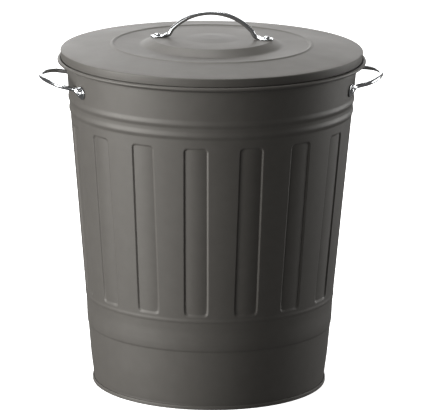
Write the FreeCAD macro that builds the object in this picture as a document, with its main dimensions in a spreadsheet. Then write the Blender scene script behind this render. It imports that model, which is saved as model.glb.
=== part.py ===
import FreeCAD, Part
import os
from math import acos, asin, atan, cos, degrees, radians, sin, sqrt

import Sketcher

# Lidded waste can of pressed and painted sheet steel, with chromed wire handles.
# Origin: centre of the base, on the ground. +Z is up, -Y is the front, and the two
# side handles stand out along +X and -X. All sizes are in millimetres.

SIZES = {
    "sheet_gauge": 0.6,
    "foot_radius": 156.35,          # outside of the wall's cone, carried down to the ground
    "wall_taper": 0.0844,           # radius gained per millimetre of height
    "rim_radius": 205.0,            # outside of the rolled rim
    "roll_radius": 2.5,             # section of the rolled rim
    "roll_height": 439.4,
    "wire_clearance": 0.1,
    "flare_height": 434.0,          # where the wall starts to flare out to the rim
    "flute_count": 16,
    "flute_width": 33.0,
    "flute_side_run": 2.1,          # width of each sloping side of a flute
    "flute_edge_depth": 2.4,        # below the tangent plane, at the foot of a side
    "flute_crown_depth": 0.7,       # in the middle of the crowned floor
    "flute_shoulder": 0.7,          # fall of the round wall at the flute's edge
    "flute_top": 359.0,
    "flute_bottom": 128.0,
    "high_ridge": 389.6,
    "low_ridge": 374.4,
    "ridge_half": 6.2,
    "ridge_rise": 1.2,
    "base_bead": 101.0,
    "base_bead_half": 13.0,
    "base_bead_rise": 0.5,
    "base_crease": 81.0,
    "base_tuck": 20.0,              # height under which the wall turns in to the chime
    "chime_radius": 157.3,
    "chime_top": 5.2,
    "pan_height": 7.0,              # underside of the raised base pan
    "lid_radius": 201.1,
    "lid_edge_height": 453.4,
    "lid_edge_round": 1.8,
    "lid_seat_height": 441.2,
    "lid_seat_round": 1.8,
    "lid_ring_radius": 132.0,
    "lid_ring_height": 460.4,
    "lid_ring_rise": 0.9,
    "lid_valley_radius": 94.0,
    "lid_valley_height": 459.0,
    "lid_disc_radius": 78.6,
    "lid_disc_height": 467.4,
    "lid_boss_radius": 37.0,
    "lid_boss_rise": 1.7,
    "plug_radius": 190.5,
    "plug_bottom": 430.0,
    "lid_turn": -10.5,              # the lid sits turned from the side handles, in degrees
    "rod_radius": 2.9,
    "crown_radius": 72.0,           # bend of the bow's top
    "shoulder_radius": 13.0,
    "knee_radius": 5.0,
    "knee_spread": 57.2,            # bend at the foot to the handle's centre
    "foot_spread": 73.0,            # screw to the handle's centre
    "pad_radius": 8.7,              # round pad about the screw
    "foot_neck": 17.0,              # from the screw to the narrow end under the knee
    "foot_neck_half": 3.2,
    "foot_gauge": 2.2,
    "lid_bow": 34.2,
    "lid_leg_lean": 63.0,
    "side_bow": 51.4,
    "side_leg_lean": 78.0,
    "side_lift": 11.0,              # degrees that the side bows rise from level
    "side_handle_height": 410.0,
    "lid_rod_gap": 0.1,             # under the lid handle's rod, beside its feet
    "side_rod_gap": 1.0,            # the same on the round wall, where the rod's ends are straight
    "screw_radius": 2.5,
    "screw_hole_radius": 2.65,
    "head_radius": 4.75,
    "head_rise": 3.3,
    "screw_length": 9.5,
    "washer_radius": 5.0,
    "washer_gauge": 1.0,
    "nut_flats": 8.0,
    "nut_gauge": 4.0,
    "thread_clearance": 0.03,
    "seat_gap": 0.1,                # flat washer against the hollow of the round wall
}

doc = FreeCAD.newDocument("waste_can")
sheet = doc.addObject("Spreadsheet::Sheet", "Sizes")
for row, (alias, amount) in enumerate(SIZES.items(), start=1):
    sheet.set(f"A{row}", alias)
    sheet.set(f"B{row}", str(amount))
    sheet.setAlias(f"B{row}", alias)
doc.recompute()

nodes = []


def size(alias):
    return float(sheet.get(alias))


def number(expression):
    return float(sheet.evalExpression(expression))


def vec(x, y, z=0.0):
    return FreeCAD.Vector(x, y, z)


# ---------------------------------------------------------------- sketches and bodies

def new_body(name):
    return doc.addObject("PartDesign::Body", name)


def plane_of(body, role):
    return next(f for f in body.Origin.OriginFeatures if f.Role == role)


def new_sketch(body, name, role):
    sketch = body.newObject("Sketcher::SketchObject", name)
    sketch.AttachmentSupport = [(plane_of(body, role), "")]
    sketch.MapMode = "FlatFace"
    return sketch


def pin_vertex(sketch, line, kind, expression):
    """Fix one coordinate of a line's start, measured from the sketch's origin."""
    amount = number(expression)
    if abs(amount) < 1e-9:
        axis = -2 if kind == "DistanceX" else -1
        sketch.addConstraint(Sketcher.Constraint("PointOnObject", line, 1, axis))
        return
    index = sketch.addConstraint(Sketcher.Constraint(kind, -1, 1, line, 1, amount))
    sketch.setExpression(f"Constraints[{index}]", expression)


def draw_outline(sketch, corners):
    """A closed outline of straight lines whose corners are pairs of expressions."""
    points = [vec(number(x), number(y)) for x, y in corners]
    count = len(points)
    for i in range(count):
        sketch.addGeometry(Part.LineSegment(points[i], points[(i + 1) % count]), False)
    for i in range(count):
        sketch.addConstraint(Sketcher.Constraint("Coincident", i, 2, (i + 1) % count, 1))
    for i, (x, y) in enumerate(corners):
        pin_vertex(sketch, i, "DistanceX", x)
        pin_vertex(sketch, i, "DistanceY", y)


def turned(name, corners):
    """A body turned about Z from an outline of (radius, height) expressions."""
    body = new_body(name)
    sketch = new_sketch(body, name + "_outline", "XZ_Plane")
    draw_outline(sketch, corners)
    turn = body.newObject("PartDesign::Revolution", name + "_turn")
    turn.Profile = sketch
    turn.ReferenceAxis = (sketch, ["V_Axis"])
    turn.Angle = 360
    doc.recompute()
    return body


# ---------------------------------------------------------------- Part primitives

def cylinder(name, radius, height, lift=None):
    item = doc.addObject("Part::Cylinder", name)
    item.setExpression("Radius", radius)
    item.setExpression("Height", height)
    if lift is not None:
        item.setExpression(".Placement.Base.z", lift)
    return item


def torus(name, ring, section, lift):
    item = doc.addObject("Part::Torus", name)
    item.setExpression("Radius1", ring)
    item.setExpression("Radius2", section)
    item.setExpression(".Placement.Base.z", lift)
    return item


def combine(kind, name, base, tool):
    item = doc.addObject(kind, name)
    item.Base = base
    item.Tool = tool
    return item


def cut(name, base, tool):
    return combine("Part::Cut", name, base, tool)


def fuse(name, base, tool):
    return combine("Part::Fuse", name, base, tool)


def publish(item, label, placement=None):
    """Name a finished sub-part, and put it in its place."""
    item.Label = label
    if placement is not None:
        item.Placement = placement
    nodes.append(item)
    return item


# ---------------------------------------------------------------- places on the can

def wall_radius(height):
    return size("foot_radius") + size("wall_taper") * height


def wall_place(azimuth, out=0.0):
    """At a side handle's screw: local X runs round the wall and Z straight out of it."""
    lean = atan(size("wall_taper"))
    outward = vec(cos(lean), 0, -sin(lean))
    facing = FreeCAD.Rotation(vec(0, 1, 0), vec(sin(lean), 0, cos(lean)), outward, "ZXY")
    turn = FreeCAD.Rotation(vec(0, 0, 1), azimuth)
    height = size("side_handle_height")
    base = turn.multVec(vec(wall_radius(height), 0, height) + outward * out)
    return FreeCAD.Placement(base, turn.multiply(facing))


def lid_place(along, out=0.0):
    """On the lid's flat disc, the given distance along the lid handle."""
    turn = FreeCAD.Rotation(vec(0, 0, 1), size("lid_turn"))
    base = turn.multVec(vec(along, 0, size("lid_disc_height") + out))
    return FreeCAD.Placement(base, turn)


def side_azimuths(side):
    """Azimuths of a side handle's front and rear screws; side is +1 on the right."""
    spread = degrees(asin(size("foot_spread") / wall_radius(size("side_handle_height"))))
    middle = 0 if side > 0 else 180
    return {"front": middle - side * spread, "rear": middle + side * spread}


SIDES = {"left": -1, "right": 1}


# ---------------------------------------------------------------- the can's wall

def ridge(crest, half, rise):
    """Heights and rises of a rounded ridge around the wall, from its foot upwards."""
    steps = ((-1.0, 0.0), (-0.5, 0.72), (0.0, 1.0), (0.5, 0.72), (1.0, 0.0))
    return [(f"{crest} + {half} * {t}", f"{rise} * {share}") for t, share in steps]


def wall_points(inset):
    """The wall from the base tuck up to the flare, moved in by the inset."""
    stations = [("Sizes.base_tuck", "-1.2"), ("Sizes.base_tuck * 2.5", "-0.3"),
                ("Sizes.base_crease - 9", "0"), ("Sizes.base_crease - 2", "0.3"),
                ("Sizes.base_crease + 1", "-0.3")]
    stations += ridge("Sizes.base_bead", "Sizes.base_bead_half", "Sizes.base_bead_rise")
    stations += [("Sizes.flute_bottom - 10", "0.1"), ("Sizes.flute_bottom - 6", "0.4"),
                 ("Sizes.flute_bottom - 2", "0")]
    stations += ridge("Sizes.low_ridge", "Sizes.ridge_half", "Sizes.ridge_rise")
    stations += ridge("Sizes.high_ridge", "Sizes.ridge_half", "Sizes.ridge_rise")
    stations += [("Sizes.flare_height", "0")]
    cone = "Sizes.foot_radius + Sizes.wall_taper * ({}) + ({}) - ({})"
    return [(cone.format(height, rise, inset), height) for height, rise in stations]


def flute_cutter(body, name, grow):
    """Press the flutes into a turned body: one half a pitch from the back, then a polar
    pattern, so that the front and back lie between two flutes."""
    half = f"Sizes.flute_width / 2 + {grow} * 0.5"
    floor_half = f"Sizes.flute_width / 2 - Sizes.flute_side_run + {grow} * 0.5"
    edge = number(f"Sizes.flute_edge_depth + {grow}")
    crown = number(f"Sizes.flute_crown_depth + {grow}")
    shoulder = number(f"Sizes.flute_shoulder + {grow}")
    top = f"Sizes.flute_top + {grow}"

    sketch = new_sketch(body, name + "_section", "XY_Plane")
    wall = f"(Sizes.foot_radius + Sizes.wall_taper * ({top}))"
    turn = "(180 / Sizes.flute_count)"
    sketch.setExpression(".AttachmentOffset.Base.x", f"-{wall} * sin{turn}")
    sketch.setExpression(".AttachmentOffset.Base.y", f"{wall} * cos{turn}")
    sketch.setExpression(".AttachmentOffset.Base.z", top)
    slope = FreeCAD.Rotation(vec(1, 0, 0), -degrees(atan(size("wall_taper"))))
    facing = FreeCAD.Rotation(vec(0, 0, 1), number(turn))
    sketch.AttachmentOffset = FreeCAD.Placement(sketch.AttachmentOffset.Base,
                                                facing.multiply(slope))

    outside = 6.0
    wide, flat = number(half), number(floor_half)
    left = [vec(-wide, outside), vec(-wide, -shoulder), vec(-flat, -edge)]
    right = [vec(flat, -edge), vec(wide, -shoulder), vec(wide, outside)]
    for side in (left, right):
        for start, end in zip(side, side[1:]):
            sketch.addGeometry(Part.LineSegment(start, end), False)
    sketch.addGeometry(Part.Arc(left[2], vec(0, -crown), right[0]), False)
    sketch.addGeometry(Part.LineSegment(right[2], left[0]), False)

    pocket = body.newObject("PartDesign::Pocket", name)
    pocket.Profile = sketch
    length = f"(Sizes.flute_top - Sizes.flute_bottom + 2 * {grow}) / cos(atan(Sizes.wall_taper))"
    pocket.setExpression("Length", length)
    doc.recompute()
    pattern = body.newObject("PartDesign::PolarPattern", name + "_ring")
    pattern.Originals = [pocket]
    pattern.Axis = (plane_of(body, "Z_Axis"), [""])
    pattern.Angle = 360
    pattern.setExpression("Occurrences", "Sizes.flute_count")
    body.Tip = pattern
    doc.recompute()


def can_shell():
    gauge = "Sizes.sheet_gauge"
    roll_ring = "Sizes.rim_radius - Sizes.roll_radius"
    lip = "Sizes.rim_radius - 2 * Sizes.roll_radius"
    flare = "Sizes.foot_radius + Sizes.wall_taper * Sizes.flare_height"
    seam_outer = "Sizes.chime_radius - 1.95"

    outside = turned("can_outside", [
        ("0", "0.75"), ("Sizes.chime_radius - 0.9", "0.75"),
        ("Sizes.chime_radius - 0.9", "1.35"), (seam_outer, "1.35"),
        (seam_outer, "Sizes.chime_top"),
        *wall_points("0"),
        (f"{lip} - 2.5", "Sizes.roll_height - 4.3"), (f"{lip} + 0.1", "Sizes.roll_height - 3.0"),
        (f"{lip} + 0.5", "Sizes.roll_height - 1.8"), (f"{lip} + 0.55", "Sizes.roll_height"),
        ("0", "Sizes.roll_height")])
    flute_cutter(outside, "flute", "0")

    inside = turned("can_inside", [
        ("0", "0"), (f"{seam_outer} - {gauge}", "0"),
        (f"{seam_outer} - {gauge}", "Sizes.chime_top"),
        *wall_points(gauge),
        (f"{flare} - 0.56", "Sizes.flare_height + 0.48"),
        (f"{lip} - 2.71", "Sizes.roll_height - 3.73"), (f"{lip} - 0.39", "Sizes.roll_height - 2.57"),
        (f"{lip} - 0.09", "Sizes.roll_height - 1.7"),
        (f"{lip} - 0.05", "Sizes.roll_height"), (f"{lip} - 0.05", "Sizes.roll_height + 20"),
        ("0", "Sizes.roll_height + 20")])
    flute_cutter(inside, "flute_back", gauge)

    rolled = torus("rim_roll", roll_ring, "Sizes.roll_radius", "Sizes.roll_height")
    hollow = torus("rim_hollow", roll_ring, f"Sizes.roll_radius - {gauge}", "Sizes.roll_height")
    # The sheet's end stops short of the wall under the roll, which leaves a fine slit.
    slit_ring = cylinder("slit_ring", f"{lip} + 1.5", "2.0", "Sizes.roll_height - 2.7")
    slit_core = cylinder("slit_core", f"{lip} + 0.8", "2.0", "Sizes.roll_height - 2.7")
    slit = cut("rim_slit", slit_ring, slit_core)

    item = fuse("can_with_roll", outside, rolled)
    item = cut("can_emptied", item, inside)
    item = cut("can_roll_hollow", item, hollow)
    item = cut("can_roll_open", item, slit)
    for side in SIDES.values():
        for end, azimuth in side_azimuths(side).items():
            drill = cylinder("drill", "Sizes.screw_hole_radius", "20")
            drill.Placement = wall_place(azimuth, -10)
            item = cut("can_drilled", item, drill)
    publish(item, "can_shell")


def rim_wire():
    item = torus("rim_wire_ring", "Sizes.rim_radius - Sizes.roll_radius",
                 "Sizes.roll_radius - Sizes.sheet_gauge - Sizes.wire_clearance",
                 "Sizes.roll_height")
    publish(item, "rim_wire")


def can_bottom():
    """A raised pan whose edge is folded round the foot of the wall as the chime."""
    edge = "Sizes.chime_radius"
    top = "Sizes.chime_top"
    gauge = "Sizes.sheet_gauge"
    bend = 0.5
    item = turned("can_bottom_pan", [
        ("0", "Sizes.pan_height"), (f"{edge} - 3.25", "Sizes.pan_height"),
        (f"{edge} - 3.25", "0"), (f"{edge} - {bend}", "0"), (edge, f"{bend}"),
        (edge, f"{top} - {bend}"), (f"{edge} - {bend}", top), (f"{edge} - 1.7", top),
        (f"{edge} - 1.7", f"{top} - {gauge}"), (f"{edge} - {gauge}", f"{top} - {gauge}"),
        (f"{edge} - {gauge}", gauge), (f"{edge} - 2.65", gauge),
        (f"{edge} - 2.65", f"Sizes.pan_height + {gauge}"), ("0", f"Sizes.pan_height + {gauge}")])
    publish(item, "can_bottom")


# ---------------------------------------------------------------- the lid

def lid_shell():
    """One sheet: a dished top, a skirt, and a plug folded back inside the skirt."""
    gauge = "Sizes.sheet_gauge"
    disc = "Sizes.lid_disc_height"
    ring = "Sizes.lid_ring_radius"
    edge = "Sizes.lid_radius"
    edge_top = "Sizes.lid_edge_height"
    seat = "Sizes.lid_seat_height"
    bend = "Sizes.lid_seat_round"
    boss = "Sizes.lid_boss_radius"
    top = [("0", f"{disc} + Sizes.lid_boss_rise"),
           (f"{boss} * 0.5", f"{disc} + Sizes.lid_boss_rise * 0.8"),
           (f"{boss} * 0.8", f"{disc} + Sizes.lid_boss_rise * 0.2"),
           (boss, disc), ("Sizes.lid_disc_radius", disc),
           ("Sizes.lid_valley_radius", "Sizes.lid_valley_height"),
           (f"{ring} - 3", "Sizes.lid_ring_height - 0.2"),
           (ring, "Sizes.lid_ring_height + Sizes.lid_ring_rise"),
           (f"{ring} + 3", "Sizes.lid_ring_height - 0.2"),
           (f"{edge} - Sizes.lid_edge_round", edge_top)]
    under = [(radius, f"{height} - {gauge}") for radius, height in reversed(top)]
    skirt = [(f"{edge} - Sizes.lid_edge_round * 0.3", f"{edge_top} - Sizes.lid_edge_round * 0.3"),
             (edge, f"{edge_top} - Sizes.lid_edge_round"), (edge, f"{seat} + {bend}"),
             (f"{edge} - {bend} * 0.3", f"{seat} + {bend} * 0.3"),
             (f"{edge} - {bend}", seat), ("Sizes.plug_radius", seat),
             ("Sizes.plug_radius", "Sizes.plug_bottom")]
    lining = [(f"Sizes.plug_radius - {gauge}", "Sizes.plug_bottom"),
              (f"Sizes.plug_radius - {gauge}", f"{seat} + {gauge}"),
              (f"{edge} - {bend}", f"{seat} + {gauge}"),
              (f"{edge} - {gauge} - ({bend} - {gauge}) * 0.3",
               f"{seat} + {gauge} + ({bend} - {gauge}) * 0.3"),
              (f"{edge} - {gauge}", f"{seat} + {bend}"),
              (f"{edge} - {gauge}", f"{edge_top} - Sizes.lid_edge_round")]
    item = turned("lid_sheet", top + skirt + lining + under)
    for side in SIDES.values():
        drill = cylinder("lid_drill", "Sizes.screw_hole_radius", "20")
        drill.Placement = lid_place(side * size("foot_spread"), -10)
        item = cut("lid_drilled", item, drill)
    publish(item, "lid_shell")


# ---------------------------------------------------------------- handles

def arc_through(centre, start, end):
    """The short arc from start to end about a centre."""
    middle = (start - centre) + (end - centre)
    middle.normalize()
    return Part.Arc(start, centre + middle * (start - centre).Length, end)


def bow_path(bow, lean, knee, splay):
    """Centre line of a bent handle rod: tail, knee, leg and shoulder on each side of
    a round crown. The knee is the corner between the tail and the leg."""
    radius = size("crown_radius")
    shoulder = size("shoulder_radius")
    bend = size("knee_radius")
    tail_way = vec(cos(splay), -sin(splay))
    leg_way = vec(-cos(lean), sin(lean))
    crown_centre = vec(0, bow - radius)

    reach = bend * sin((lean - splay) / 2) / cos((lean - splay) / 2)
    knee_start = knee + tail_way * reach
    knee_end = knee + leg_way * reach
    knee_centre = knee_start + vec(sin(splay), cos(splay)) * bend

    inner = knee + vec(-sin(lean), -cos(lean)) * shoulder
    gap = inner - crown_centre
    along = gap.dot(leg_way)
    climb = -along + sqrt(along ** 2 - gap.dot(gap) + (radius - shoulder) ** 2)
    leg_end = knee + leg_way * climb
    shoulder_centre = inner + leg_way * climb
    outward = shoulder_centre - crown_centre
    outward.normalize()
    crown_end = crown_centre + outward * radius
    tail_end = knee_start + tail_way * 2.0

    def flip(point):
        return vec(-point.x, point.y)

    right = [arc_through(shoulder_centre, crown_end, leg_end),
             Part.LineSegment(leg_end, knee_end),
             arc_through(knee_centre, knee_end, knee_start),
             Part.LineSegment(knee_start, tail_end)]
    left = [Part.LineSegment(flip(tail_end), flip(knee_start)),
            arc_through(flip(knee_centre), flip(knee_start), flip(knee_end)),
            Part.LineSegment(flip(knee_end), flip(leg_end)),
            arc_through(flip(shoulder_centre), flip(leg_end), flip(crown_end))]
    crown = arc_through(crown_centre, flip(crown_end), crown_end)
    return left + [crown] + right, flip(tail_end)


def foot_sketch(body, name, place, tip):
    """A round pad with its screw hole, and a neck that narrows towards the rod. The tip
    is +1 where the pad's far side is along +X."""
    sketch = new_sketch(body, name, "XY_Plane")
    sketch.AttachmentOffset = place
    pad, neck, half = size("pad_radius"), size("foot_neck"), size("foot_neck_half")
    lean = radians(180) - atan(half / neck) - acos(pad / sqrt(neck ** 2 + half ** 2))
    touch = vec(tip * pad * cos(lean), pad * sin(lean))
    corner = vec(-tip * neck, half)

    def below(point):
        return vec(point.x, -point.y)

    sketch.addGeometry(Part.LineSegment(below(touch), below(corner)), False)
    sketch.addGeometry(Part.LineSegment(below(corner), corner), False)
    sketch.addGeometry(Part.LineSegment(corner, touch), False)
    sketch.addGeometry(Part.Arc(touch, vec(tip * pad, 0), below(touch)), False)
    hole = sketch.addGeometry(Part.Circle(vec(0, 0), vec(0, 0, 1), size("screw_hole_radius")), False)
    bore = sketch.addConstraint(Sketcher.Constraint("Radius", hole, size("screw_hole_radius")))
    sketch.setExpression(f"Constraints[{bore}]", "Sizes.screw_hole_radius")
    sketch.addConstraint(Sketcher.Constraint("Coincident", hole, 3, -1, 1))
    return sketch


def handle(label, place, feet, bow, lean, knee, splay):
    """A chromed rod bent into a bow, with a flattened foot at each end."""
    body = new_body(label + "_rod")
    path = new_sketch(body, label + "_path", "XZ_Plane")
    pieces, start = bow_path(bow, radians(lean), knee, radians(splay))
    for piece in pieces:
        path.addGeometry(piece, False)
    ring = new_sketch(body, label + "_section", "YZ_Plane")
    ring.AttachmentOffset = FreeCAD.Placement(vec(0, start.y, start.x),
                                              FreeCAD.Rotation(vec(1, 0, 0), -splay))
    circle = ring.addGeometry(Part.Circle(vec(0, 0), vec(0, 0, 1), size("rod_radius")), False)
    bore = ring.addConstraint(Sketcher.Constraint("Radius", circle, size("rod_radius")))
    ring.setExpression(f"Constraints[{bore}]", "Sizes.rod_radius")
    ring.addConstraint(Sketcher.Constraint("Coincident", circle, 3, -1, 1))
    pipe = body.newObject("PartDesign::AdditivePipe", label + "_bow")
    pipe.Profile = ring
    pipe.Spine = (path, [])
    doc.recompute()
    for end, (foot, tip) in feet.items():
        sketch = foot_sketch(body, f"{label}_{end}_outline", place.inverse().multiply(foot), tip)
        pad = body.newObject("PartDesign::Pad", f"{label}_{end}_foot")
        pad.Profile = sketch
        pad.setExpression("Length", "Sizes.foot_gauge")
        doc.recompute()
    publish(body, label, place)


def lid_handle():
    spread = size("foot_spread")
    feet = {name: (lid_place(side * spread), side) for name, side in SIDES.items()}
    knee = vec(size("knee_spread"), size("rod_radius") + size("lid_rod_gap"))
    handle("lid_handle", lid_place(0), feet, size("lid_bow"), size("lid_leg_lean"), knee, 0)


def side_handle(name, side):
    """The feet follow the round wall, so they splay back from the bow."""
    spread = size("foot_spread")
    wall = wall_radius(size("side_handle_height"))
    chord = sqrt(wall ** 2 - spread ** 2)
    splay = degrees(asin(spread / wall))
    level = FreeCAD.Rotation(vec(0, 1, 0), vec(0, 0, 1), vec(1, 0, 0), "ZXY")
    lifted = level.multiply(FreeCAD.Rotation(vec(1, 0, 0), -size("side_lift")))
    turn = FreeCAD.Rotation(vec(0, 0, 1), 0 if side > 0 else 180)
    base = turn.multVec(vec(chord, 0, size("side_handle_height")))
    place = FreeCAD.Placement(base, turn.multiply(lifted))
    azimuths = side_azimuths(side)
    feet = {"front": (wall_place(azimuths["front"]), -side),
            "rear": (wall_place(azimuths["rear"]), side)}
    across = size("knee_spread")
    sag = sqrt(wall ** 2 - across ** 2) - chord
    knee = vec(across, sag + size("rod_radius") + size("side_rod_gap"))
    handle(name, place, feet, size("side_bow"), size("side_leg_lean"), knee, splay)


# ---------------------------------------------------------------- fasteners

def screw(label, place):
    """A round-head screw whose head sits on the foot; the origin is under the head."""
    rise, radius = size("head_rise"), size("head_radius")
    ball = (radius ** 2 + rise ** 2) / (2 * rise)
    head = doc.addObject("Part::Sphere", "screw_head")
    head.Radius = ball
    head.Angle1 = degrees(asin((ball - rise) / ball))
    head.Placement.Base = vec(0, 0, rise - ball)
    root = 0.5
    shank = cylinder("screw_shank", "Sizes.screw_radius", f"Sizes.screw_length + {root}",
                     "-Sizes.screw_length")
    publish(fuse("screw_whole", shank, head), label, place)


def washer(label, place):
    disc = cylinder("washer_disc", "Sizes.washer_radius", "Sizes.washer_gauge")
    hole = cylinder("washer_hole", "Sizes.screw_hole_radius", "Sizes.washer_gauge")
    publish(cut("washer_whole", disc, hole), label, place)


def nut(label, place):
    block = doc.addObject("Part::Prism", "nut_block")
    block.Polygon = 6
    block.setExpression("Circumradius", "Sizes.nut_flats / (2 * cos(30))")
    block.setExpression("Height", "Sizes.nut_gauge")
    hole = cylinder("nut_thread", "Sizes.screw_radius + Sizes.thread_clearance", "Sizes.nut_gauge")
    publish(cut("nut_whole", block, hole), label, place)


def fasten(prefix, where, gap):
    """Screw, washer and nut through a foot and the sheet; where(out) is a place that
    far out of the sheet's outer face."""
    washer_back = -size("sheet_gauge") - gap - size("washer_gauge")
    screw(prefix + "_screw", where(size("foot_gauge")))
    washer(prefix + "_washer", where(washer_back))
    nut(prefix + "_nut", where(washer_back - size("nut_gauge")))


def all_fasteners():
    for name, side in SIDES.items():
        fasten(f"lid_handle_{name}", lambda out, s=side: lid_place(s * size("foot_spread"), out), 0)
        for end, azimuth in side_azimuths(side).items():
            fasten(f"{name}_handle_{end}", lambda out, a=azimuth: wall_place(a, out),
                   size("seat_gap"))


# ---------------------------------------------------------------- build, check, write

def check_document():
    doc.recompute()
    failed = [o.Name for o in doc.Objects if "Invalid" in o.State or "Error" in o.State]
    if failed:
        raise RuntimeError(f"features failed: {failed}")
    for item in nodes:
        if item.Shape.isNull() or not item.Shape.isValid():
            raise RuntimeError(f"{item.Label} has no valid shape")


def write_nodes():
    os.makedirs("parts", exist_ok=True)
    for item in nodes:
        item.Shape.exportStep(f"parts/{item.Label}.step")
        solids = len(item.Shape.Solids)
        print(f"{item.Label}: {solids} solid, {item.Shape.Volume:.0f} mm3")


can_shell()
rim_wire()
can_bottom()
for handle_name, handle_side in SIDES.items():
    side_handle(handle_name + "_handle", handle_side)
lid_shell()
lid_handle()
all_fasteners()
check_document()
write_nodes()
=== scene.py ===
from math import acos, asin, atan, cos, pi, radians, sin, sqrt, tan

import bmesh
import bpy
from mathutils import Matrix, Vector


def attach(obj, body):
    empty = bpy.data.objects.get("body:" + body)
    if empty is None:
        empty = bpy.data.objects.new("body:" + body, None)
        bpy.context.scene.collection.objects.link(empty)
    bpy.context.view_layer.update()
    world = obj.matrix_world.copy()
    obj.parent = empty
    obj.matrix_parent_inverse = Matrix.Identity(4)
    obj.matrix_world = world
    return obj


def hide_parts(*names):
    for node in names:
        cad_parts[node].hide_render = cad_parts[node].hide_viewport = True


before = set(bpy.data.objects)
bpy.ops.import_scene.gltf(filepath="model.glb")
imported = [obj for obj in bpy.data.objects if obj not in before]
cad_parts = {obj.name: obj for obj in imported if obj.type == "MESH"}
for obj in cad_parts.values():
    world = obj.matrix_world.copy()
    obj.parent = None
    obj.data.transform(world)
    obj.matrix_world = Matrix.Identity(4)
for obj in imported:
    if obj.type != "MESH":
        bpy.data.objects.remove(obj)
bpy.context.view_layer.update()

# Lidded waste can. Lengths in this script are millimetres until they become mesh
# points, which are metres; heights are from the ground and radii from the can's axis.
MM = 0.001
GAUGE = 0.6
FOOT_RADIUS = 156.35
TAPER = 0.0844
FLUTES = 16
FLUTE_TOP = 359.0
FLUTE_BOTTOM = 128.0
FLUTE_HALF = 16.5
ROLL_RADIUS = 2.5
ROLL_HEIGHT = 439.4
RIM_RADIUS = 204.96
CHIME_RADIUS = 157.3
CHIME_TOP = 5.2
PAN_HEIGHT = 7.0
LID_RADIUS = 201.1
LID_SEAT = 441.2
LID_DISC = 467.4
LID_TURN = radians(-10.5)
ROD = 2.88
KNEE_SPREAD = 57.2
FOOT_SPREAD = 73.0
PAD_RADIUS = 8.7
PAD_NECK = 17.0
PAD_NECK_HALF = 3.2
PAD_GAUGE = 2.2
HANDLE_HEIGHT = 410.0
SIDE_BOW = 51.4
SIDE_ROD_GAP = 1.0
SIDE_LEG_LEAN = radians(78)
SIDE_LIFT = radians(11)
LID_BOW = 34.2
LID_ROD_GAP = 0.1
LID_LEG_LEAN = radians(63)
LID_DISC_RADIUS = 78.6
HIGH_RIDGE = 389.6
LOW_RIDGE = 374.4
HEAD_RADIUS = 4.7
HEAD_RISE = 3.2
THREAD_CREST = 2.45
THREAD_ROOT = 2.1
THREAD_PITCH = 0.8


# ---------------------------------------------------------------- small helpers

def smooth(x):
    """0 below 0, 1 above 1, and an even S between."""
    x = min(max(x, 0.0), 1.0)
    return x * x * (3 - 2 * x)


def blend(a, b, share):
    """The value that lies the given share of the way from a to b."""
    return a + (b - a) * share


def spread(first, last, count):
    """Count + 1 evenly spaced values from first to last."""
    return [first + (last - first) * i / count for i in range(count + 1)]


def mesh_piece(name, points, faces, body, material):
    """A new smooth-shaded mesh, its points given in millimetres."""
    mesh = bpy.data.meshes.new(name)
    mesh.from_pydata([Vector(p) * MM for p in points], [], faces)
    piece = bpy.data.objects.new(name, mesh)
    bpy.context.scene.collection.objects.link(piece)
    tidy = bmesh.new()
    tidy.from_mesh(mesh)
    bmesh.ops.recalc_face_normals(tidy, faces=tidy.faces)
    tidy.to_mesh(mesh)
    tidy.free()
    mesh.shade_smooth()
    mesh.materials.append(material)
    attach(piece, body)
    return piece


def corner_arc(before, corner, after, radius, steps):
    """Points of the arc that rounds one corner of a path in the (radius, height) plane."""
    a, b, c = Vector(before), Vector(corner), Vector(after)
    back, ahead = (a - b).normalized(), (c - b).normalized()
    half = acos(max(-1.0, min(1.0, back.dot(ahead)))) / 2
    reach = radius / tan(half)
    centre = b + (back + ahead).normalized() * (radius / sin(half))
    start, end = b + back * reach - centre, b + ahead * reach - centre
    swing = start.angle(end)
    points = []
    for share in spread(0, 1, steps):
        weight_start = sin((1 - share) * swing) / sin(swing)
        weight_end = sin(share * swing) / sin(swing)
        points.append(tuple(centre + start * weight_start + end * weight_end))
    return points


def rounded(corners, steps=5):
    """A path through (r, z, corner radius) corners, each rounded by its own radius."""
    path = [corners[0][:2]]
    for before, here, after in zip(corners, corners[1:], corners[2:]):
        if here[2] > 0:
            path += corner_arc(before[:2], here[:2], after[:2], here[2], steps)
        else:
            path.append(here[:2])
    path.append(corners[-1][:2])
    return path


def normals_of(path):
    """Unit normals to the left of a path's direction, one for each point."""
    result = []
    for i in range(len(path)):
        before = Vector(path[max(i - 1, 0)])
        after = Vector(path[min(i + 1, len(path) - 1)])
        way = (after - before).normalized()
        result.append(Vector((-way.y, way.x)))
    return result


def sheet_loop(path, gauge=GAUGE):
    """A closed outline of sheet metal: the path, and the path moved to its left."""
    back = [tuple(Vector(p) + n * gauge) for p, n in zip(path, normals_of(path))]
    return list(path) + back[::-1]


def turned_piece(name, outline, count, body, material, on_axis=False):
    """A mesh turned about Z. A closed outline, or one that starts and ends on the axis."""
    points, faces = [], []
    rows = len(outline)
    ring = outline[1:-1] if on_axis else outline
    for r, z in ring:
        for i in range(count):
            turn = 2 * pi * i / count
            points.append((r * cos(turn), r * sin(turn), z))
    last = len(ring) - 1 if on_axis else len(ring)
    for j in range(last):
        k = (j + 1) % len(ring)
        for i in range(count):
            n = (i + 1) % count
            faces.append((j * count + i, j * count + n, k * count + n, k * count + i))
    if on_axis:
        for end, z in ((0, outline[0][1]), (len(ring) - 1, outline[rows - 1][1])):
            points.append((0, 0, z))
            pole = len(points) - 1
            for i in range(count):
                n = (i + 1) % count
                faces.append((pole, end * count + i, end * count + n))
    return mesh_piece(name, points, faces, body, material)


# ---------------------------------------------------------------- materials

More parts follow.
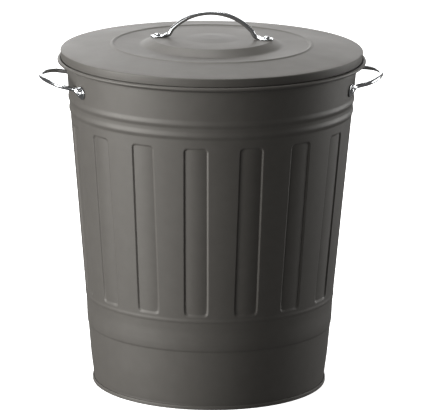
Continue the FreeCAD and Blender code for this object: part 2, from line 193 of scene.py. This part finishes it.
class Nodes:
    """A material's node tree, with one short call for each node."""

    def __init__(self, name):
        self.material = bpy.data.materials.new(name)
        self.material.use_nodes = True
        self.tree = self.material.node_tree
        self.tree.nodes.clear()
        self.shader = self.add("ShaderNodeBsdfPrincipled")
        output = self.add("ShaderNodeOutputMaterial")
        self.link(self.shader, "BSDF", output, "Surface")
        self.place = self.add("ShaderNodeTexCoord")

    def add(self, kind, **settings):
        node = self.tree.nodes.new(kind)
        for key, value in settings.items():
            setattr(node, key, value)
        return node

    def link(self, node, output, other, socket):
        self.tree.links.new(node.outputs[output], other.inputs[socket])

    def noise(self, per_metre, detail=2.0, roughness=0.5, stretch=None):
        """Noise over the object, its grain set in repeats per metre."""
        node = self.add("ShaderNodeTexNoise")
        node.inputs["Scale"].default_value = per_metre
        node.inputs["Detail"].default_value = detail
        node.inputs["Roughness"].default_value = roughness
        if stretch is None:
            self.link(self.place, "Object", node, "Vector")
        else:
            mapping = self.add("ShaderNodeMapping")
            mapping.inputs["Scale"].default_value = stretch
            self.link(self.place, "Object", mapping, "Vector")
            self.link(mapping, "Vector", node, "Vector")
        return node

    def ramp(self, source, output, stops):
        """Map a 0-1 value through (position, colour or level) stops."""
        node = self.add("ShaderNodeValToRGB")
        elements = node.color_ramp.elements
        while len(elements) < len(stops):
            elements.new(0.5)
        for element, (position, level) in zip(elements, stops):
            element.position = position
            colour = level if isinstance(level, tuple) else (level,) * 3
            element.color = (*colour, 1)
        self.link(source, output, node, "Fac")
        return node

    def mix(self, kind, share, first, second):
        """Mix two colour outputs; share is a number or a (node, output) pair."""
        node = self.add("ShaderNodeMix", data_type="RGBA", blend_type=kind)
        if isinstance(share, tuple):
            self.tree.links.new(share[0].outputs[share[1]], node.inputs[0])
        else:
            node.inputs[0].default_value = share
        for socket, source in ((6, first), (7, second)):
            if isinstance(source, tuple) and hasattr(source[0], "outputs"):
                self.tree.links.new(source[0].outputs[source[1]], node.inputs[socket])
            else:
                node.inputs[socket].default_value = (*source, 1)
        return node

    def bump(self, layers):
        """Stack bump layers of (node, output, strength, depth in millimetres)."""
        previous = None
        for node, output, strength, depth in layers:
            bump = self.add("ShaderNodeBump")
            bump.inputs["Strength"].default_value = strength
            bump.inputs["Distance"].default_value = depth * MM
            self.link(node, output, bump, "Height")
            if previous is not None:
                self.link(previous, "Normal", bump, "Normal")
            previous = bump
        self.link(previous, "Normal", self.shader, "Normal")

    def set(self, **values):
        for key, value in values.items():
            self.shader.inputs[key.replace("_", " ")].default_value = value


def painted_steel():
    """Satin powder coat: fine orange peel, faint pigment mottling, and broad patches
    where the gloss is a little higher or lower."""
    m = Nodes("powder_coat")
    mottling = m.noise(60, 3, 0.6)
    pigment = m.ramp(mottling, "Fac",
                     [(0.3, (0.064, 0.0595, 0.0535)), (0.7, (0.070, 0.0655, 0.059))])
    grain = m.noise(2600, 1, 0.5)
    speck = m.ramp(grain, "Fac", [(0.35, 0.90), (0.65, 1.0)])
    colour = m.mix("MULTIPLY", 0.6, (pigment, "Color"), (speck, "Color"))
    m.link(colour, 2, m.shader, "Base Color")
    haze = m.noise(14, 4, 0.6)
    gloss = m.ramp(haze, "Fac", [(0.3, 0.51), (0.7, 0.59)])
    m.link(gloss, "Color", m.shader, "Roughness")
    peel = m.noise(520, 2, 0.5)
    m.bump([(peel, "Fac", 0.35, 0.05), (grain, "Fac", 0.15, 0.02)])
    m.set(Metallic=0.0, IOR=1.5, Specular_Tint=(1.0, 0.975, 0.925, 1))
    return m.material


def chrome_plate():
    """Bright chrome over drawn rod, with faint polishing lines and dulled patches."""
    m = Nodes("chrome")
    cloud = m.noise(90, 3, 0.6)
    tint = m.ramp(cloud, "Fac", [(0.3, (0.52, 0.53, 0.54)), (0.7, (0.58, 0.59, 0.60))])
    m.link(tint, "Color", m.shader, "Base Color")
    gloss = m.ramp(cloud, "Fac", [(0.35, 0.16), (0.75, 0.22)])
    m.link(gloss, "Color", m.shader, "Roughness")
    lines = m.noise(900, 2, 0.6, stretch=(1.0, 0.25, 1.0))
    m.bump([(lines, "Fac", 0.08, 0.01)])
    m.set(Metallic=1.0)
    return m.material


def zinc_plate():
    """Zinc plate on the washers and nuts, cloudy and slightly gritty."""
    m = Nodes("zinc")
    cloud = m.noise(400, 3, 0.6)
    tint = m.ramp(cloud, "Fac", [(0.3, (0.50, 0.51, 0.50)), (0.7, (0.64, 0.65, 0.66))])
    m.link(tint, "Color", m.shader, "Base Color")
    gloss = m.ramp(cloud, "Fac", [(0.3, 0.25), (0.7, 0.40)])
    m.link(gloss, "Color", m.shader, "Roughness")
    grit = m.noise(3000, 2, 0.5)
    m.bump([(grit, "Fac", 0.2, 0.02)])
    m.set(Metallic=1.0)
    return m.material


def galvanised_wire():
    """Galvanised wire with a small spangle."""
    m = Nodes("galvanised")
    spangle = m.add("ShaderNodeTexVoronoi")
    spangle.inputs["Scale"].default_value = 350
    m.link(m.place, "Object", spangle, "Vector")
    tint = m.ramp(spangle, "Distance", [(0.2, (0.36, 0.37, 0.38)), (0.8, (0.50, 0.51, 0.53))])
    m.link(tint, "Color", m.shader, "Base Color")
    gloss = m.ramp(spangle, "Distance", [(0.2, 0.35), (0.8, 0.55)])
    m.link(gloss, "Color", m.shader, "Roughness")
    m.set(Metallic=1.0)
    return m.material


PAINT = painted_steel()
CHROME = chrome_plate()
ZINC = zinc_plate()
WIRE = galvanised_wire()


# ---------------------------------------------------------------- the can's wall

def ridge(z, crest, below, above, rise):
    """A rounded ridge that runs out the given distances below and above its crest."""
    share = (z - crest) / (above if z > crest else below)
    return rise * (1 + cos(pi * share)) / 2 if abs(share) < 1 else 0.0


def wall_radius(z):
    """Outside of the wall between the chime and the flare, before the flutes."""
    radius = FOOT_RADIUS + TAPER * z
    radius -= 1.25 * (1 - smooth((z - 5) / 40))
    radius += ridge(z, HIGH_RIDGE, 5.5, 6.5, 1.25)
    radius += ridge(z, LOW_RIDGE, 5.5, 6.5, 1.35)
    radius += ridge(z, 122.5, 3.5, 4.0, 0.4)
    radius += ridge(z, 94.0, 13.0, 17.0, 0.6)
    radius += 0.7 * (smooth((z - 79.5) / 3.0) - smooth((z - 83) / 14))
    radius -= 0.5 * (1 - smooth((z - 5.5) / 5))
    return radius


def flute_depth(s, z):
    """How far the wall is pressed in, s along the wall from a flute's middle."""
    side_slope, corner = 2.5, 6.5
    edge_slope = 2.6 + 2.6 * smooth((FLUTE_BOTTOM + 16 - z) / 16)
    middle = (FLUTE_TOP + FLUTE_BOTTOM) / 2
    half_height = (FLUTE_TOP - FLUTE_BOTTOM) / 2
    across = abs(s) - (FLUTE_HALF - corner)
    along = abs(z - middle) - (half_height - corner)
    outside = sqrt(max(across, 0) ** 2 + max(along, 0) ** 2) + min(max(across, along), 0)
    inside = corner - outside
    floor = 0.7 + 1.1 * (min(abs(s), FLUTE_HALF - side_slope) / (FLUTE_HALF - side_slope)) ** 2
    return floor * smooth(inside / edge_slope)


def wall_heights():
    """Rows of the wall's mesh, close together where the shape changes quickly."""
    rows = [5.6, 8, 12, 18, 26, 36, 46, 56]
    rows += spread(62, 78, 8) + spread(79, 90, 14) + spread(92, 114, 11)
    rows += spread(116, 126, 12) + spread(127, 135, 12)
    rows += spread(140, 350, 12)
    rows += spread(352, 361, 14) + spread(363, 397.5, 34) + [402, 410, 418, 425]
    return rows


def flute_columns():
    """Offsets in millimetres across one flute, closest on its sloping sides."""
    side = [16.9, 16.5, 16.1, 15.6, 15.1, 14.6, 14.2, 13.8, 13.0, 11.5, 9.5, 7.2, 4.8, 2.4]
    return [-s for s in side] + [0.0] + side[::-1]


def seam_height(across):
    """The wall's upright lap seam: a low strip with a crisp edge on one side."""
    return 0.35 * smooth((across + 5.2) / 1.2) * smooth((5.2 - across) / 5.0)


def can_wall():
    """The pressed wall, its rolled rim and the flange in the chime, as one sheet."""
    heights = wall_heights()
    lip = RIM_RADIUS - ROLL_RADIUS
    roll = []
    for angle in spread(200, -120, 32):
        roll.append((lip + (ROLL_RADIUS - GAUGE) * cos(radians(angle)),
                     ROLL_HEIGHT + (ROLL_RADIUS - GAUGE) * sin(radians(angle))))
    flare = rounded([(wall_radius(430), 430.0), (wall_radius(434.3), 434.3, 1.8),
                     (200.2, 436.6, 1.6), roll[0]])
    seam = CHIME_RADIUS - 1.95
    foot = [(CHIME_RADIUS - 0.9, 0.75), (seam + 0.6, 0.75), (seam, 1.5), (seam, 3.5)]
    path = foot + [(wall_radius(z), z) for z in heights] + flare + roll
    inward = normals_of(path)

    seam_flute = 7
    offsets = flute_columns()
    plain = [0.12, 0.27, 0.42, 0.58, 0.73, 0.88]
    lap = [0.12, 0.27, 0.36, 0.375, 0.395, 0.42, 0.5, 0.56, 0.6, 0.64, 0.73, 0.88]
    columns = []
    for k in range(FLUTES):
        columns += [(k, s, None) for s in offsets]
        columns += [(k, None, share) for share in (lap if k == seam_flute else plain)]

    pitch = 2 * pi / FLUTES

    def azimuth(column, z):
        k, s, share = column
        cone = FOOT_RADIUS + TAPER * min(max(z, 60), 400)
        middle = -pi / 2 + pitch * (k + 0.5)
        edge = offsets[-1] / cone
        if s is not None:
            return middle + s / cone
        return blend(middle + edge, middle + pitch - edge, share)

    points, faces = [], []
    for side in (0.0, GAUGE):
        for (r, z), normal in zip(path, inward):
            cone = FOOT_RADIUS + TAPER * z
            for column in columns:
                turn = azimuth(column, z)
                k, s, share = column
                lift = 0.0
                if s is not None and FLUTE_BOTTOM - 1 < z < FLUTE_TOP + 1 and r < cone + 3:
                    lift = -flute_depth(s, z)
                if k == seam_flute and share is not None and 8 < z < 428:
                    lift = seam_height((share - 0.5) * (pitch * cone - 2 * FLUTE_HALF))
                radius = r + normal.x * side + lift
                height = z + normal.y * side
                points.append((radius * cos(turn), radius * sin(turn), height))

    rows, wide = len(path), len(columns)
    order = list(range(rows)) + list(range(2 * rows - 1, rows - 1, -1))
    for a, b in zip(order, order[1:] + order[:1]):
        for i in range(wide):
            n = (i + 1) % wide
            faces.append((a * wide + i, a * wide + n, b * wide + n, b * wide + i))
    piece = mesh_piece("painted_wall", points, faces, "can", PAINT)
    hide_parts("can_shell")


def base_pan():
    """The raised base with two stiffening rings, folded round the wall as the chime."""
    edge = CHIME_RADIUS
    chuck = edge - 3.25
    path = rounded([(0, PAN_HEIGHT, 0), (58, PAN_HEIGHT, 2), (61, PAN_HEIGHT + 1.6, 2),
                    (66, PAN_HEIGHT + 1.6, 2), (69, PAN_HEIGHT, 2), (118, PAN_HEIGHT, 2),
                    (121, PAN_HEIGHT + 1.6, 2), (126, PAN_HEIGHT + 1.6, 2),
                    (129, PAN_HEIGHT, 2), (chuck, PAN_HEIGHT, 0.8), (chuck, 0, 0.5),
                    (edge, 0, 0.7), (edge, CHIME_TOP, 0.8), (edge - 1.7, CHIME_TOP - 0.1, 0)])
    outline = sheet_loop(path)
    piece = turned_piece("painted_base", outline, 256, "can", PAINT, True)
    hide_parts("can_bottom")


# ---------------------------------------------------------------- the lid

def lid_pan():
    """One pressed sheet: centre boss, raised disc, ring bead, skirt, seat and plug."""
    ring, plug = 132.0, 190.5
    path = rounded([(0, LID_DISC + 1.7, 0), (14, LID_DISC + 1.7, 60), (36, LID_DISC, 60),
                    (LID_DISC_RADIUS, LID_DISC, 4), (94, 459.0, 12), (ring - 3.2, 460.15, 3),
                    (ring, 461.5, 1.6), (ring + 3.2, 460.05, 3),
                    (LID_RADIUS, 453.2, 1.6), (LID_RADIUS - 1.1, LID_SEAT, 1.6),
                    (plug, LID_SEAT, 1.2), (plug, 430.0, 0.62), (plug - 1.3, 430.0, 0.62),
                    (plug - 1.3, 434.5, 0)], steps=6)
    finer = []
    for a, b in zip(path, path[1:]):
        parts = max(1, int((Vector(b) - Vector(a)).length / 9))
        finer += [tuple(Vector(a).lerp(Vector(b), i / parts)) for i in range(parts)]
    finer.append(path[-1])
    under = [tuple(Vector(p) - n * GAUGE) for p, n in zip(finer, normals_of(finer))]
    under[0] = (0.0, under[0][1])
    outline = finer + under[::-1]
    piece = turned_piece("painted_lid", outline, 288, "lid", PAINT, True)
    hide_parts("lid_shell")


# ---------------------------------------------------------------- handles

def bow_half(bow, lean, splay):
    """Centre line of half a bent rod, from the crown's middle to the end of the knee,
    as (across, out) points."""
    crown, shoulder, bend = 72.0, 13.0, 5.0
    knee = Vector((KNEE_SPREAD, bow[1]))
    leg = Vector((-cos(lean), sin(lean)))
    tail = Vector((cos(splay), -sin(splay)))
    centre = Vector((0, bow[0] - crown))
    reach = bend * tan((lean - splay) / 2)
    inner = knee + Vector((-sin(lean), -cos(lean))) * shoulder
    gap = inner - centre
    along = gap.dot(leg)
    climb = -along + sqrt(along ** 2 - gap.dot(gap) + (crown - shoulder) ** 2)
    turn_middle = inner + leg * climb
    crown_end = centre + (turn_middle - centre).normalized() * crown
    knee_middle = knee + tail * reach + Vector((sin(splay), cos(splay))) * bend

    def arc(middle, start, end, steps):
        first, last = start - middle, end - middle
        swing = first.angle(last)
        return [middle + (first * sin((1 - t) * swing) + last * sin(t * swing)) / sin(swing)
                for t in spread(0, 1, steps)]

    top = arc(centre, Vector((0, bow[0])), crown_end, 22)
    side = arc(turn_middle, crown_end, knee + leg * climb, 12)
    foot = arc(knee_middle, knee + leg * reach, knee + tail * reach, 10)
    return top + side[1:] + [side[-1].lerp(foot[0], 0.5)] + foot


def pad_half(u):
    """Half-width of a foot's pad, u outwards from its screw."""
    neck_reach = sqrt(PAD_NECK ** 2 + PAD_NECK_HALF ** 2)
    lean = pi - atan(PAD_NECK_HALF / PAD_NECK) - acos(PAD_RADIUS / neck_reach)
    touch, wide = PAD_RADIUS * cos(lean), PAD_RADIUS * sin(lean)
    if u > touch:
        return sqrt(max(PAD_RADIUS ** 2 - u ** 2, 0.0))
    return blend(PAD_NECK_HALF, wide, (u + PAD_NECK) / (touch + PAD_NECK))


def handle_stations(path, foot):
    """Half a handle as (centre, width direction, half-width, half-thickness, exponent),
    in the handle's own frame; the foot's frame has its pad's tip along +X."""
    stations = [(Vector((p.x, 0, p.y)), Vector((0, 1, 0)), ROD, ROD, 2.0) for p in path]
    origin, outward, across, up = (foot.translation, foot.col[0].xyz, foot.col[1].xyz,
                                   foot.col[2].xyz)
    half = PAD_GAUGE / 2
    last = stations[-1][0]
    start = (last - origin).dot(outward)
    flat = -6.0
    for share in (0.17, 0.34, 0.5, 0.67, 0.83):
        u = blend(start, flat, share)
        ease = smooth(share)
        drop = blend((last - origin).dot(up), half, ease)
        centre = origin + outward * u + up * drop
        centre += across * ((last - origin).dot(across) * (1 - ease))
        way = Vector((0, 1, 0)).lerp(across, ease).normalized()
        stations.append((centre, way, blend(ROD, pad_half(flat), ease),
                         blend(ROD, half, ease), blend(2.0, 4.5, ease)))
    for u in [flat, -4.5, -3, -1.5, 0, 2, 4, 5.5, 6.7, 7.5, 8.1, 8.4, 8.6]:
        edge = half * (1 - 0.35 * smooth((u - 7.6) / 1.1))
        stations.append((origin + outward * u + up * half, across, pad_half(u), edge, 4.5))
    return stations


def swept_handle(name, place, path, foot, node, body):
    """A bent rod with a flattened pad at each end, mirrored about its middle."""
    half = handle_stations(path, foot)

    def flip(vector):
        return Vector((-vector.x, vector.y, vector.z))

    mirrored = [(flip(c), flip(w), a, b, e) for c, w, a, b, e in half[1:]]
    stations = mirrored[::-1] + half
    ring, points, faces = 28, [], []
    for i, (centre, way, wide, thick, exponent) in enumerate(stations):
        before = stations[max(i - 1, 0)][0]
        after = stations[min(i + 1, len(stations) - 1)][0]
        lift = (after - before).cross(way).normalized()
        for k in range(ring):
            turn = 2 * pi * k / ring
            c, s = cos(turn), sin(turn)
            x = abs(c) ** (2 / exponent) * (1 if c > 0 else -1) * wide
            y = abs(s) ** (2 / exponent) * (1 if s > 0 else -1) * thick
            points.append(place @ (centre + way * x + lift * y))
    for i in range(len(stations) - 1):
        for k in range(ring):
            n = (k + 1) % ring
            faces.append((i * ring + k, i * ring + n, (i + 1) * ring + n, (i + 1) * ring + k))
    faces.append(tuple(range(ring)))
    faces.append(tuple(range(len(points) - ring, len(points))))
    piece = mesh_piece(name, points, faces, body, CHROME)
    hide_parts(node)


def frame_of(origin, x, y, z):
    """The placement at origin whose axes are x, y and z."""
    return Matrix.Translation(origin) @ Matrix((x, y, z)).transposed().to_4x4()


def lid_frame(along, out=0.0):
    """On the lid's disc, out above it; X runs along the handle."""
    return Matrix.Rotation(LID_TURN, 4, "Z") @ Matrix.Translation((along, 0, LID_DISC + out))


def wall_frame(azimuth, out=0.0):
    """On the wall at a side handle's height: X runs round the wall and Z out of it."""
    lean = atan(TAPER)
    radial = Vector((cos(azimuth), sin(azimuth), 0))
    rise = Vector((0, 0, 1))
    outward = radial * cos(lean) - rise * sin(lean)
    origin = radial * (FOOT_RADIUS + TAPER * HANDLE_HEIGHT) + rise * HANDLE_HEIGHT + outward * out
    return frame_of(origin, Vector((-sin(azimuth), cos(azimuth), 0)),
                    radial * sin(lean) + rise * cos(lean), outward)


def handles():
    """The lid's handle, and the two side handles with their feet round the wall."""
    wall = FOOT_RADIUS + TAPER * HANDLE_HEIGHT
    lid_path = bow_half((LID_BOW, ROD + LID_ROD_GAP), LID_LEG_LEAN, 0.0)
    swept_handle("lid_bow", lid_frame(0), lid_path, Matrix.Translation((FOOT_SPREAD, 0, 0)),
                 "lid_handle", "lid")
    chord = sqrt(wall ** 2 - FOOT_SPREAD ** 2)
    splay = asin(FOOT_SPREAD / wall)
    sag = sqrt(wall ** 2 - KNEE_SPREAD ** 2) - chord
    side_path = bow_half((SIDE_BOW, sag + ROD + SIDE_ROD_GAP), SIDE_LEG_LEAN, splay)
    for name, facing in (("right", 0.0), ("left", pi)):
        turn = Matrix.Rotation(facing, 4, "Z")
        place = turn @ frame_of(Vector((chord, 0, HANDLE_HEIGHT)), Vector((0, 1, 0)),
                                Vector((-sin(SIDE_LIFT), 0, cos(SIDE_LIFT))),
                                Vector((cos(SIDE_LIFT), 0, sin(SIDE_LIFT))))
        foot = place.inverted() @ wall_frame(facing + splay)
        swept_handle(f"{name}_bow", place, side_path, foot, f"{name}_handle", "can")


# ---------------------------------------------------------------- screws

def screw(name, place, body):
    """A round-head screw with a cross recess and ring threads."""
    around = 64
    ball = (HEAD_RADIUS ** 2 + HEAD_RISE ** 2) / (2 * HEAD_RISE)
    rows = []
    for r in [0.25, 0.5, 0.75, 1.0, 1.25, 1.5, 1.75, 2.0, 2.3, 2.6, 3.0, 3.5, 4.0, 4.4, HEAD_RADIUS]:
        rows.append((r, HEAD_RISE - ball + sqrt(max(ball ** 2 - r ** 2, 0.0)), True))
    rows += [(4.68, -0.0, False), (THREAD_CREST, 0.0, False)]
    z = -2.4
    while z > -9.0:
        rows += [(THREAD_CREST, z, False), (THREAD_ROOT, z - THREAD_PITCH / 2, False)]
        z -= THREAD_PITCH
    rows += [(THREAD_ROOT, -9.2, False), (1.7, -9.5, False)]
    points, faces = [], []
    for r, z, head in rows:
        for i in range(around):
            turn = 2 * pi * i / around
            x, y = r * cos(turn), r * sin(turn)
            slot = min(abs(x), abs(y))
            sunk = 0.0
            if head:
                sunk = 1.5 * smooth((0.75 - slot) / 0.35) * smooth((2.75 - r) / 1.3)
            points.append(place @ Vector((x, y, z - sunk)))
    for j in range(len(rows) - 1):
        for i in range(around):
            n = (i + 1) % around
            faces.append((j * around + i, j * around + n, (j + 1) * around + n,
                          (j + 1) * around + i))
    faces.append(tuple(range(around)))
    faces.append(tuple(range(len(points) - around, len(points))))
    piece = mesh_piece(name, points, faces, body, CHROME)
    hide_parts(name.replace("cross_", ""))


def screws():
    """Two screws through the lid's handle and two through each side handle."""
    wall = FOOT_RADIUS + TAPER * HANDLE_HEIGHT
    swing = asin(FOOT_SPREAD / wall)
    for name, side in (("left", -1), ("right", 1)):
        screw(f"cross_lid_handle_{name}_screw", lid_frame(side * FOOT_SPREAD, PAD_GAUGE), "lid")
        middle = 0.0 if side > 0 else pi
        for end, way in (("front", -side), ("rear", side)):
            screw(f"cross_{name}_handle_{end}_screw",
                  wall_frame(middle + way * swing, PAD_GAUGE), "can")


can_wall()
base_pan()
lid_pan()
handles()
screws()

for name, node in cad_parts.items():
    if name.endswith(("_washer", "_nut")):
        node.data.materials.clear()
        node.data.materials.append(ZINC)
    elif name == "rim_wire":
        node.data.materials.clear()
        node.data.materials.append(WIRE)


# ---------------------------------------------------------------- studio

# The studio's lengths are in metres.
SOFTBOX_SIZE = (1.25, 1.1)
SOFTBOX_DISTANCE = 2.4


def look_along(item, forward, up):
    """Turn an item so that it faces forward, with its top towards up."""
    right = forward.cross(up).normalized()
    top = right.cross(forward).normalized()
    rotation = Matrix((right, top, -forward)).transposed()
    item.matrix_world = Matrix.Translation(item.location) @ rotation.to_4x4()


def camera():
    """Long lens, 4.8 m in front of the can and slightly to its left, 13.6 degrees down."""
    data = bpy.data.cameras.new("camera")
    data.sensor_width = 36.0
    data.lens = 313.6
    data.clip_end = 60.0
    item = bpy.data.objects.new("camera", data)
    bpy.context.scene.collection.objects.link(item)
    side_turn = radians(-5.3)
    distance, height = 4.826, 1.402
    pitch, yaw, roll = radians(13.57), radians(0.034), radians(0.526)
    item.location = (distance * sin(side_turn), -distance * cos(side_turn), height)
    heading = -side_turn + yaw
    forward = Vector((sin(heading) * cos(pitch), cos(heading) * cos(pitch), -sin(pitch)))
    right = Vector((cos(heading), -sin(heading), 0))
    upright = right.cross(forward)
    look_along(item, forward, upright * cos(roll) - right * sin(roll))
    bpy.context.scene.camera = item


def floor():
    """A wide pale floor that runs out past every view. It glows white to the camera, and
    is kept out of the can's own lighting and reflections."""
    mesh = bpy.data.meshes.new("floor")
    half = 30.0
    mesh.from_pydata([(-half, -half, 0), (half, -half, 0), (half, half, 0), (-half, half, 0)],
                     [], [(0, 1, 2, 3)])
    item = bpy.data.objects.new("floor", mesh)
    bpy.context.scene.collection.objects.link(item)
    m = Nodes("floor")
    cloud = m.noise(3, 2, 0.5)
    tint = m.ramp(cloud, "Fac", [(0.3, 0.93), (0.7, 0.96)])
    m.link(tint, "Color", m.shader, "Base Color")
    m.link(tint, "Color", m.shader, "Emission Color")
    m.set(Roughness=0.9, Emission_Strength=0.95)
    mesh.materials.append(m.material)
    item.visible_diffuse = False
    item.visible_glossy = False


def softbox(name, azimuth, elevation, watts):
    """A rectangular light that faces the can; azimuth is from the front, towards +X."""
    data = bpy.data.lights.new(name, "AREA")
    data.shape = "RECTANGLE"
    data.size, data.size_y = SOFTBOX_SIZE
    data.energy = watts
    item = bpy.data.objects.new(name, data)
    bpy.context.scene.collection.objects.link(item)
    a, e = radians(azimuth), radians(elevation)
    aim = Vector((0, 0, 0.25))
    item.location = aim + Vector((sin(a) * cos(e), -cos(a) * cos(e), sin(e))) * SOFTBOX_DISTANCE
    forward = (aim - item.location).normalized()
    look_along(item, forward, Vector((0, 0, 1)))
    item.visible_camera = False


def studio():
    """Seven softboxes, the strongest of them on the left, and a dim white world."""
    world = bpy.data.worlds.new("studio")
    bpy.context.scene.world = world
    world.use_nodes = True
    background = world.node_tree.nodes["Background"]
    background.inputs["Color"].default_value = (1, 1, 1, 1)
    background.inputs["Strength"].default_value = 0.13
    softbox("left_key", -74, 8, 90)
    softbox("front_left_fill", -45, 8, 22)
    softbox("right_rim", 108, 8, 30)
    softbox("back_left", -165, 20, 13)
    softbox("back_right", 165, 20, 10)
    softbox("back_high", -150, 62, 25)
    softbox("overhead", -120, 82, 34)
    bpy.context.scene.view_settings.view_transform = "Standard"


camera()
floor()
studio()
